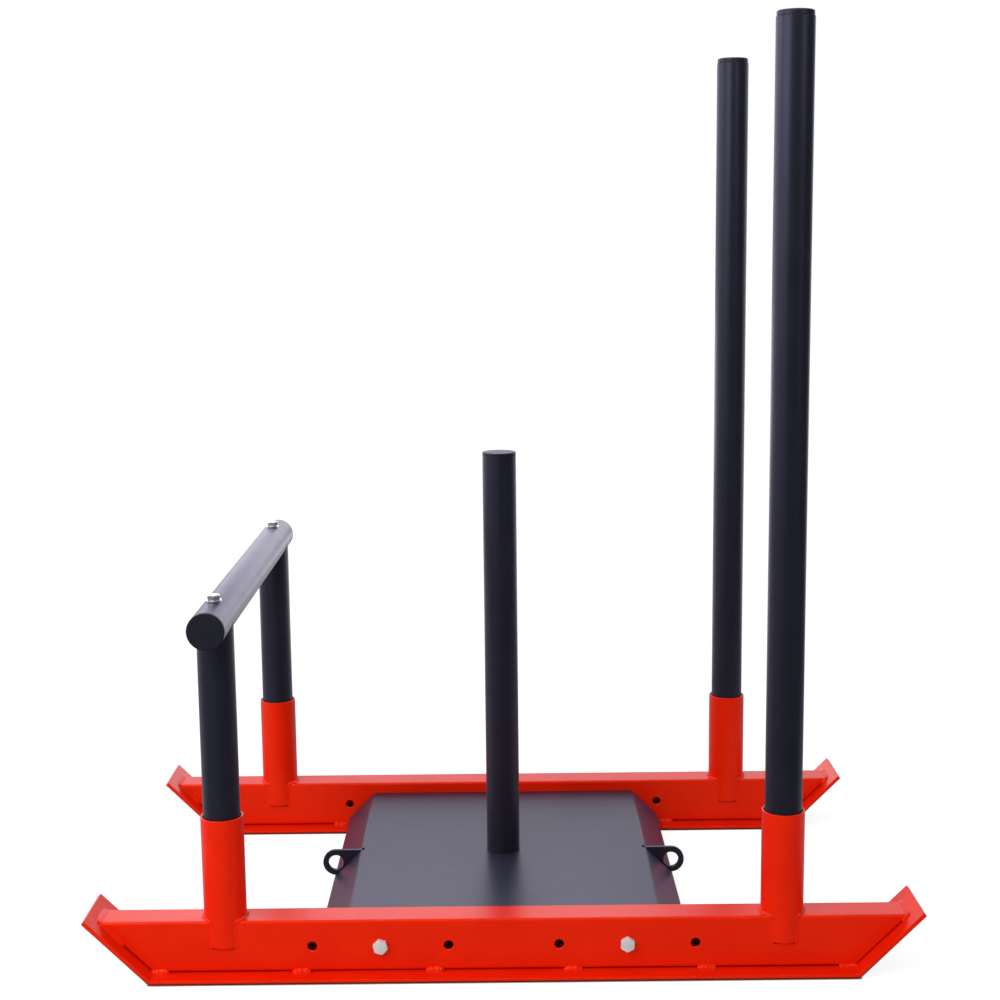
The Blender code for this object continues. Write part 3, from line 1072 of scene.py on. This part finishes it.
@dataclass(frozen=True)
class EndCap:
    """A plastic plug whose lip covers the end of a tube."""

    radius: float
    lip: float
    edge: float
    plug: float = 0.015
    plug_taper: Pair = (0.001, 0.002)
    lip_ease: float = 0.0003
    dimple: float = 0.0018
    dimple_depth: float = 0.0004
    dimple_floor: float = 0.7

    def shape(self, where: Matrix) -> Shape:
        """The cap.

        Args:
            where: the frame at the tube's end; the cap points along its own Z.

        Returns:
            The shape.
        """
        inside = POST_RADIUS - POST_WALL - GAP
        low = self.lip - self.dimple_depth
        narrow, short = self.plug_taper
        profile = [(0, low), (self.dimple * self.dimple_floor, low), (self.dimple, self.lip)]
        profile += arc((self.radius - self.edge, self.lip - self.edge), self.edge, 90, 0, 6)
        profile += [(self.radius, GAP + self.lip_ease), (self.radius - self.lip_ease, GAP), (inside, GAP)]
        profile += [(inside, -self.plug + short), (inside - narrow, -self.plug), (0, -self.plug)]
        return Shape().turned(profile, where)


@dataclass
class StandingPosts:
    """The two loose tall posts and the fixed centre post, with their caps."""

    tall_top: float = 1.268
    centre_top: float = 0.676
    tall_cap: EndCap = EndCap(0.024, 0.0075, 0.0022)
    centre_cap: EndCap = EndCap(0.025, 0.0048, 0.0014)

    def build(self, bench: Bench) -> None:
        """Makes the posts and their caps.

        Args:
            bench: where they are finished.
        """
        for side, body in ((Side.LEFT, Body.LEFT_POST), (Side.RIGHT, Body.RIGHT_POST)):
            top = self.tall_top - self.tall_cap.lip
            foot = Matrix.Translation((POST_X, side.value * RUNNER_Y, 0))
            tube = Shape().turned(tube_profile(SOCKET_SEAT, top), foot)
            bench.stand_in(f"tall_post_{side.word}", tube, body, Slot.BLACK)
            cap = self.tall_cap.shape(foot @ Matrix.Translation((0, 0, top)))
            bench.stand_in(f"tall_post_cap_{side.word}", cap, body, Slot.PLASTIC)
        top = self.centre_top - self.centre_cap.lip
        tube = Shape().turned(tube_profile(DECK_TOP - DECK_THICKNESS, top), Matrix.Identity(4))
        bench.stand_in("centre_post", tube, Body.CHASSIS, Slot.BLACK)
        cap = self.centre_cap.shape(Matrix.Translation((0, 0, top)))
        bench.stand_in("centre_post_cap", cap, Body.CHASSIS, Slot.PLASTIC)


@dataclass(frozen=True)
class HexPart:
    """A hex head or nut with chamfered corners, above its own frame's origin."""

    flats: float
    height: float
    bore: float = 0.0
    both_ends: bool = False
    slope: float = 0.577
    flat_share: float = 0.94
    bore_ease: float = 0.0006

    def add_to(self, shape: Shape, where: Matrix) -> None:
        """Adds it to a shape.

        Args:
            shape: the shape that it becomes part of.
            where: its frame.
        """
        half = self.flats / 2
        face = half * self.flat_share
        turns = circle(HEX_SIDES)
        rows: list[list[Point]] = [[], [], [], []]
        for i, (c, s) in enumerate(turns):
            a = 2 * math.pi * i / HEX_SIDES
            reach = half / math.cos((a + math.pi / 6) % (math.pi / 3) - math.pi / 6)
            drop = (reach - face) * self.slope
            low = drop if self.both_ends else 0.0
            rows[0].append((face * c, face * s, self.height))
            rows[1].append((reach * c, reach * s, self.height - drop))
            rows[2].append((reach * c, reach * s, low))
            rows[3].append((face * c, face * s, 0.0))
        loops = [shape.loop([where @ Vector(p) for p in row]) for row in rows]
        shape.skins(loops)
        if self.bore == 0:
            for end, height in ((0, self.height), (3, 0.0)):
                shape.skin(loops[end], shape.loop([where @ Vector((0, 0, height))]))
            return
        ease = self.bore_ease
        edge = self.bore + ease
        bore = [(edge, self.height), (self.bore, self.height - ease), (self.bore, ease), (edge, 0.0)]
        inner = [shape.loop([where @ Vector((r * c, r * s, z)) for c, s in turns]) for r, z in bore]
        shape.skins(inner)
        shape.skin(loops[0], inner[0])
        shape.skin(loops[3], inner[-1])


@dataclass(frozen=True)
class HexBolt:
    """A bolt whose head stands on its frame's origin and whose shank, threaded at the end, hangs below."""

    flats: float
    head: float
    radius: float
    thread: float
    pitch: float
    thread_depth: float = 0.55
    end_ease: float = 0.0004

    def shape(self, length: float, where: Matrix, twist: Matrix) -> Shape:
        """The bolt.

        Args:
            length: from the head to the end.
            where: its frame.
            twist: how the head is turned in it.

        Returns:
            The shape.
        """
        bolt = Shape()
        HexPart(self.flats, self.head).add_to(bolt, where @ twist)
        return bolt.turned(self.shank(length), where, SMALL_SIDES)

    def shank(self, length: float) -> list[Pair]:
        """Radius and height of the shank's points, from the head down.

        Args:
            length: from the head to the end.

        Returns:
            The profile.
        """
        root = self.radius - self.thread_depth * self.pitch
        profile = [(0, 0), (self.radius, 0), (self.radius, -length + self.thread)]
        crest = -length + self.thread - self.pitch / 2
        while crest > -length + self.pitch:
            profile += [(root, crest), (self.radius, crest - self.pitch / 2)]
            crest -= self.pitch
        return profile + [(root, -length + self.end_ease), (root - self.end_ease, -length), (0, -length)]


DECK_BOLT = HexBolt(0.018, 0.0075, 0.006, 0.020, 0.00175)
DECK_NUT = HexPart(DECK_BOLT.flats, 0.0108, DECK_BOLT.radius + GAP, True)
BAR_BOLT = HexBolt(0.016, 0.0064, 0.005, 0.026, 0.0015)


@dataclass
class Deck:
    """The folded plate between the runners, its tow eyes, and the bolts that hold it."""

    half_length: float = 0.218
    flank: float = 0.042
    bend_radius: float = 0.004
    half_width: float = 0.2657
    edge_ease: float = 0.0005
    cheek_thickness: float = 0.004
    eye_thickness: float = 0.006
    eye_radius: float = 0.020
    eye_hole: float = 0.0115
    eye_reach: float = 0.2575
    eye_ease: float = 0.0008
    slot_start: float = 0.214
    slot_end: float = 0.250
    slot_spare: float = 0.003
    web_depth: float = 0.010
    bolt_station: float = 0.1675
    bolt_past_nut: float = 0.003
    bolt_turns: Pair = (13.0, -4.0)

    def build(self, bench: Bench) -> None:
        """Makes the plate, the tow eyes and the fasteners.

        Args:
            bench: where they are finished.
        """
        bench.stand_in("deck_plate", self.plate(), Body.CHASSIS, Slot.BLACK)
        for end in End:
            bench.stand_in(f"tow_eye_{end.word}", self.tow_eye(end), Body.CHASSIS, Slot.BLACK)
            for side in Side:
                self.fasteners(bench, side, end)
        for side in Side:
            bench.keep(f"deck_cheek_{side.word}", Slot.BLACK)

    def plate(self) -> Shape:
        """Makes the plate, folded down at both ends, with its slots and the hole for the centre post.

        Returns:
            The shape.
        """
        outline = folded_strip(self.half_length, self.flank, DECK_TOP, -1, DECK_THICKNESS, self.bend_radius)
        blank = Shape().prism(outline, -self.half_width, self.half_width)
        half = self.eye_thickness / 2 + GAP
        below, above = 0.01, 0.1
        cutters = []
        for sign in (-1, 1):
            first, last = sorted((sign * self.slot_start, sign * self.slot_end))
            box = [(first, below), (last, below), (last, above), (first, above)]
            cutters.append(Shape().prism(box, -half, half + self.slot_spare))
        cutters.append(plug(POST_RADIUS + GAP, 0.04, 0.08, Matrix.Identity(4)))
        return blank.cut(cutters).eased(self.edge_ease, 2, 44)

    def tow_eye(self, end: End) -> Shape:
        """A plate on edge that ends in a ring, with its web down through the slot.

        Args:
            end: which end of the sled.

        Returns:
            The shape.
        """
        middle = DECK_TOP - self.eye_radius
        slope = self.half_length + DECK_TOP + GAP * math.sqrt(2)
        reach = (slope - self.eye_reach - middle) / self.eye_radius / math.sqrt(2)
        low = 45 - math.degrees(math.acos(reach))
        inner, outer = self.slot_start + self.slot_spare, self.slot_end - GAP
        through = self.web_depth / math.sqrt(2)
        outline = arc((self.eye_reach, middle), self.eye_radius, 90, low, 48)
        outline += [
            (outer, slope - outer),
            (outer - through, slope - outer - through),
            (inner, slope - inner - 2 * through),
            (inner, DECK_TOP),
        ]
        half = self.eye_thickness / 2
        blank = Shape().prism([(end.value * x, z) for x, z in outline], -half, half).eased(self.eye_ease, 3)
        ring = (end.value * self.eye_reach, 0, middle)
        return blank.cut([drill(self.eye_hole, half, self.eye_ease, ring, RING_SIDES)])

    def fasteners(self, bench: Bench, side: Side, end: End) -> None:
        """One bolt through the runner, and its nut inside the cheek plate.

        Args:
            bench: where they are finished.
            side: which runner.
            end: which end of the deck.
        """
        sign = side.value
        seat = RUNNER_Y + BEAM_HALF_WIDTH + GAP
        nut_seat = self.half_width - self.cheek_thickness - GAP
        x = end.value * self.bolt_station
        turn = on_side(-sign)
        twist = Matrix.Rotation(math.radians(self.bolt_turns[0 if end is End.FRONT else 1]), 4, "Z")
        where = Matrix.Translation((x, sign * seat, HOLE_HEIGHT)) @ turn
        bolt = DECK_BOLT.shape(seat - nut_seat + DECK_NUT.height + self.bolt_past_nut, where, twist)
        word = f"{side.word}_{end.word}"
        bench.stand_in(f"deck_bolt_{word}", bolt, Body.CHASSIS, Slot.ZINC)
        nut = Shape()
        where = Matrix.Translation((x, sign * (nut_seat - DECK_NUT.height), HOLE_HEIGHT)) @ turn
        DECK_NUT.add_to(nut, where @ twist)
        bench.stand_in(f"deck_nut_{word}", nut, Body.CHASSIS, Slot.ZINC)


@dataclass
class PushHandle:
    """Two short posts and the bar across them, which lift out together."""

    height: float = 0.492
    length: float = 0.726
    cap: EndCap = EndCap(0.025, 0.0040, 0.0014)
    bolt_length: float = 0.0746
    bolt_spare: float = 0.0005
    bolt_turns: Pair = (8.0, 21.0)
    washer_radius: float = 0.0105
    washer_thickness: float = 0.002
    washer_ease: float = 0.0003

    def build(self, bench: Bench) -> None:
        """Makes the bar, its posts, caps, bolts and washers.

        Args:
            bench: where they are finished.
        """
        bench.stand_in("push_bar", self.bar(), Body.HANDLE, Slot.BLACK)
        for side in Side:
            bench.stand_in(f"handle_post_{side.word}", self.post(side), Body.HANDLE, Slot.BLACK)
            tip = side.value * (self.length / 2 - self.cap.lip)
            cap = self.cap.shape(Matrix.Translation((-POST_X, tip, self.height)) @ on_side(-side.value))
            bench.stand_in(f"push_bar_cap_{side.word}", cap, Body.HANDLE, Slot.PLASTIC)
            self.fasteners(bench, side)
            bench.keep(f"bar_plug_{side.word}", Slot.BLACK)

    def bar(self) -> Shape:
        """Makes the bar, with a hole over each post.

        Returns:
            The shape.
        """
        half = self.length / 2 - self.cap.lip
        where = Matrix.Translation((-POST_X, 0, self.height)) @ on_side(-1)
        tube = Shape().turned(tube_profile(-half, half), where)
        radius, reach = BAR_BOLT.radius + self.bolt_spare, 0.04
        places = [Matrix.Translation((-POST_X, side.value * RUNNER_Y, self.height)) for side in Side]
        return tube.cut([plug(radius, -reach, reach, place, SMALL_SIDES) for place in places])

    def post(self, side: Side) -> Shape:
        """A post whose top is coped to fit the bar.

        Args:
            side: which side it stands on.

        Returns:
            The shape.
        """
        shape = Shape()
        x, y = -POST_X, side.value * RUNNER_Y
        saddle = POST_RADIUS + GAP
        outer, inner = POST_RADIUS, POST_RADIUS - POST_WALL
        rows = []
        for radius, height in ((outer, None), (outer, SOCKET_SEAT), (inner, SOCKET_SEAT), (inner, None)):
            row = []
            for c, s in circle(TURNED_SIDES):
                across = radius * c
                top = self.height - math.sqrt(saddle**2 - across**2)
                row.append((x + across, y + radius * s, top if height is None else height))
            rows.append(shape.loop(row))
        shape.skins(rows, closed=True)
        return shape

    def fasteners(self, bench: Bench, side: Side) -> None:
        """The bolt and washer on top of the bar.

        Args:
            bench: where they are finished.
            side: over which post.
        """
        place = (-POST_X, side.value * RUNNER_Y)
        seat = self.height + POST_RADIUS + GAP
        thick, bore = self.washer_thickness, BAR_BOLT.radius + GAP
        profile = eased_rim(self.washer_radius, 0, thick, self.washer_ease, 3) + [(bore, 0), (bore, thick)]
        washer = Shape().turned(profile, Matrix.Translation((*place, seat)), RING_SIDES)
        bench.stand_in(f"bar_washer_{side.word}", washer, Body.HANDLE, Slot.ZINC)
        twist = Matrix.Rotation(math.radians(self.bolt_turns[0 if side is Side.LEFT else 1]), 4, "Z")
        where = Matrix.Translation((*place, seat + thick + GAP)) @ twist
        bolt = BAR_BOLT.shape(self.bolt_length, where, Matrix.Identity(4))
        bench.stand_in(f"bar_bolt_{side.word}", bolt, Body.HANDLE, Slot.ZINC)


# Studio


@dataclass(frozen=True)
class StudioPanel:
    """A rectangle in the studio that faces a point of the sled."""

    name: str
    place: Point
    aim: Point
    size: Pair
    radiance: float
    tint: Colour = (1.0, 0.98, 1.03)

    @property
    def turn(self) -> Quaternion:
        """The turn that points it at its aim."""
        return (Vector(self.aim) - Vector(self.place)).to_track_quat("-Z", "Y")


@dataclass(frozen=True)
class SoftBox(StudioPanel):
    """A rectangular lamp with a plain brightness."""

    shines: bool = True

    def build(self) -> None:
        """Hangs the lamp."""
        data = bpy.data.lights.new(self.name, "AREA")
        data.shape = "RECTANGLE"
        data.size, data.size_y = self.size
        data.energy = self.radiance * math.pi * self.size[0] * self.size[1]
        data.color = self.tint
        lamp = bpy.data.objects.new(self.name, data)
        lamp.location = self.place
        lamp.rotation_euler = self.turn.to_euler()
        lamp.visible_camera = False
        lamp.visible_glossy = self.shines
        bpy.context.scene.collection.objects.link(lamp)


@dataclass(frozen=True)
class GlowCard(StudioPanel):
    """A glowing card that only reflections show."""

    def build(self) -> None:
        """Hangs the card."""
        half, rise = self.size[0] / 2, self.size[1] / 2
        where = Matrix.Translation(self.place) @ self.turn.to_matrix().to_4x4()
        recipe = Recipe(bpy.data.materials.new(self.name))
        sockets = {"Color": (*self.tint, 1), "Strength": self.radiance}
        glow = recipe.node("ShaderNodeEmission", sockets=sockets)
        recipe.node("ShaderNodeOutputMaterial", sockets={"Surface": glow})
        recipe.owner.cycles.emission_sampling = "NONE"
        reflected_only(sheet((-half, -rise), (half, rise), where), self.name, recipe.owner)


def reflected_only(shape: Shape, name: str, finish: bpy.types.Material) -> None:
    """Puts a card or cloth in the studio where only reflections show it.

    Args:
        shape: its shape.
        name: its name.
        finish: its material.
    """
    obj = shape.holder(name)
    obj.data.materials.append(finish)
    obj.visible_camera = False
    obj.visible_diffuse = False
    obj.visible_shadow = False


@dataclass
class Studio:
    """The camera, the white surroundings, the pale floor and the lamps.

    Dark cloth, a grey card and glowing cards are round the sled, where only reflections show them.
    """

    lens: float = 60.5346
    place: Point = (0.005369, -2.473503, 0.989934)
    yaw: float = 0.0018923
    pitch: float = -0.1549699
    roll: float = -0.0109541
    shown: Colour = (1.0, 1.0, 1.08)
    ambient: Colour = (0.70, 0.70, 0.70)
    floor_half: float = 40.0
    floor_drop: float = 0.0002
    floor_tones: tuple[Colour, Colour] = ((0.64, 0.64, 0.65), (0.66, 0.66, 0.66))
    floor_glow: float = 0.86
    floor_pale: float = 0.26
    contact: float = 0.003
    contact_depth: float = 3.0
    cloth_colour: Colour = (0.070, 0.072, 0.095)
    card_colour: Colour = (0.45, 0.45, 0.47)
    cloth_tones: Pair = (0.85, 1.15)
    cloth_angles: tuple[Pair, ...] = ((-110, -52), (-46, 17))
    cloth_radius: float = 1.62
    cloth_ends: Pair = (0.004, 2.3)
    mat_half: float = 5
    mat_lift: float = 0.0015
    mat_edges: tuple[float, float, float] = (-6.0, -0.345, 1.2)
    panels: tuple[SoftBox | GlowCard, ...] = (
        SoftBox("key_softbox", (-1.7, -1.7, 2.0), (0.1, 0, 0.3), (2.2, 1.6), 4.4, shines=False),
        SoftBox("back_softbox", (-1.9, 2.8, 1.7), (-0.3, 0, 0.3), (2.6, 1.8), 0.45),
        GlowCard("rim_card", (-0.1, 1.4, 0.80), (-0.3, 0, 0.5), (1.3, 0.75), 0.80, (1.0, 0.96, 1.12)),
        GlowCard("bar_card", (-0.22, 0.85, 0.68), (-0.38, 0, 0.5), (1.1, 0.32), 2.3, (1.0, 0.97, 1.08)),
        GlowCard("low_card", (0.15, 2.8, 0.3), (-0.38, 0, 0.45), (1.5, 0.55), 2.2),
        GlowCard("edge_card", (0.25, -1.3, 2.2), (0.25, -0.3, 0.1), (2.1, 0.3), 9.0),
        GlowCard("line_card", (-1.15, -1.0, 2.34), (-1.15, -0.3, 0.1), (0.7, 1.1), 9.0),
        GlowCard("post_card", (-0.29, -0.73, 1.36), (0.38, -0.29, 1.30), (0.60, 0.50), 2.8),
        GlowCard("slim_card", (0.79, -0.73, 1.42), (0.38, -0.29, 1.40), (0.26, 0.44), 1.5),
        GlowCard("side_card", (-2.0, 0.4, 1.9), (0, -0.2, 0.1), (0.9, 0.9), 5.0),
    )

    def build(self) -> None:
        """Sets up all of it."""
        self.camera()
        self.world()
        self.floor()
        self.screens()
        for panel in self.panels:
            panel.build()
        bpy.context.scene.view_settings.view_transform = "Standard"

    def camera(self) -> None:
        """The camera at the photograph's viewing angle."""
        data = bpy.data.cameras.new("photo_camera")
        data.lens = self.lens
        data.sensor_width = 36.0
        data.clip_end = 200.0
        obj = bpy.data.objects.new("photo_camera", data)
        cy, sy = math.cos(self.yaw), math.sin(self.yaw)
        cp, sp = math.cos(self.pitch), math.sin(self.pitch)
        right = Vector((cy, sy, 0))
        ahead = Vector((-sy * cp, cy * cp, sp))
        up = right.cross(ahead)
        cr, sr = math.cos(self.roll), math.sin(self.roll)
        rows = Matrix((cr * right + sr * up, cr * up - sr * right, -ahead))
        obj.matrix_world = Matrix.Translation(self.place) @ rows.transposed().to_4x4()
        bpy.context.scene.collection.objects.link(obj)
        bpy.context.scene.camera = obj

    def world(self) -> None:
        """White surroundings, which light the sled less than they show."""
        world = bpy.data.worlds.new("studio")
        bpy.context.scene.world = world
        recipe = Recipe(world)
        colour = recipe.blend(recipe.noticed(), self.ambient, self.shown)
        back = recipe.node("ShaderNodeBackground", sockets={"Color": colour, "Strength": 1.0})
        recipe.node("ShaderNodeOutputWorld", sockets={"Surface": back})

    def floor(self) -> None:
        """A pale floor that keeps the sled's soft shadow."""
        half = self.floor_half
        where = Matrix.Translation((0, 0, -self.floor_drop))
        obj = sheet((-half, -half), (half, half), where).holder("pale_floor")
        recipe = Recipe(bpy.data.materials.new("pale_floor"))
        fleck = recipe.noise(recipe.coordinates(), 0.4, 3.0)
        pale = recipe.blend(fleck, *self.floor_tones)
        bounce = recipe.node("ShaderNodeBsdfDiffuse", sockets={"Color": pale})
        shade = recipe.node("ShaderNodeBsdfDiffuse", sockets={"Color": (*(self.floor_pale,) * 3, 1)})
        # The glow is darkened where the sled is close by: a painted contact shadow, beside the lit shadow in
        # the diffuse part.
        sockets = {"Distance": self.contact}
        open_sky = recipe.node("ShaderNodeAmbientOcclusion", {"samples": 12}, sockets, out="AO")
        sockets = {"Color": (1, 1, 1, 1), "Strength": open_sky**self.contact_depth * self.floor_glow}
        glow = recipe.node("ShaderNodeEmission", sockets=sockets)
        shown = recipe.node("ShaderNodeAddShader", sockets={0: shade, 1: glow})
        surface = recipe.node("ShaderNodeMixShader", sockets={0: recipe.noticed(), 1: bounce, 2: shown})
        recipe.node("ShaderNodeOutputMaterial", sockets={"Surface": surface})
        obj.data.materials.append(recipe.owner)

    def matt(self, name: str, colour: Colour) -> bpy.types.Material:
        """A matt studio finish.

        Args:
            name: the material's name.
            colour: its colour.

        Returns:
            The material.
        """
        recipe = Recipe(bpy.data.materials.new(name))
        weave = recipe.noise(recipe.coordinates(), 0.003, 2.0)
        shade = recipe.blend(weave, *(toned(colour, tone) for tone in self.cloth_tones))
        return recipe.surface({"Base Color": shade, "Roughness": 0.95, "Specular IOR Level": 0.0})

    def screens(self) -> None:
        """Dark cloth in front and on the floor, and a grey card under the sled."""
        cloth = self.matt("dark_cloth", self.cloth_colour)
        card = self.matt("grey_card", self.card_colour)
        wall = Shape()
        steps = 16
        for first, last in self.cloth_angles:
            angles = [math.radians(first + (last - first) * i / steps) for i in range(steps + 1)]
            feet = [(-self.cloth_radius * math.sin(a), -self.cloth_radius * math.cos(a)) for a in angles]
            low, high = (wall.loop([(x, y, z) for x, y in feet]) for z in self.cloth_ends)
            for i in range(steps):
                wall.mesh.faces.new((low[i], low[i + 1], high[i + 1], high[i]))
        reflected_only(wall, "front_cloth", cloth)
        where = Matrix.Translation((0, 0, self.mat_lift))
        front, middle, back = self.mat_edges
        reflected_only(sheet((-self.mat_half, front), (self.mat_half, middle), where), "floor_cloth", cloth)
        reflected_only(sheet((-self.mat_half, middle), (self.mat_half, back), where), "grey_card", card)


def main() -> None:
    """Builds the studio and the sled, sub-assembly by sub-assembly."""
    logging.basicConfig(level=logging.INFO, format="%(name)s: %(message)s")
    Studio().build()
    bench = Bench((RED_COAT, BLACK_COAT, MouldedPlastic(), ZincPlate()))
    assemblies = [SkidRunner(side) for side in Side]
    assemblies += [PostSocket(side, end) for side in Side for end in End]
    assemblies += [StandingPosts(), Deck(), PushHandle()]
    for assembly in assemblies:
        assembly.build(bench)


if __name__ == "__main__":
    main()
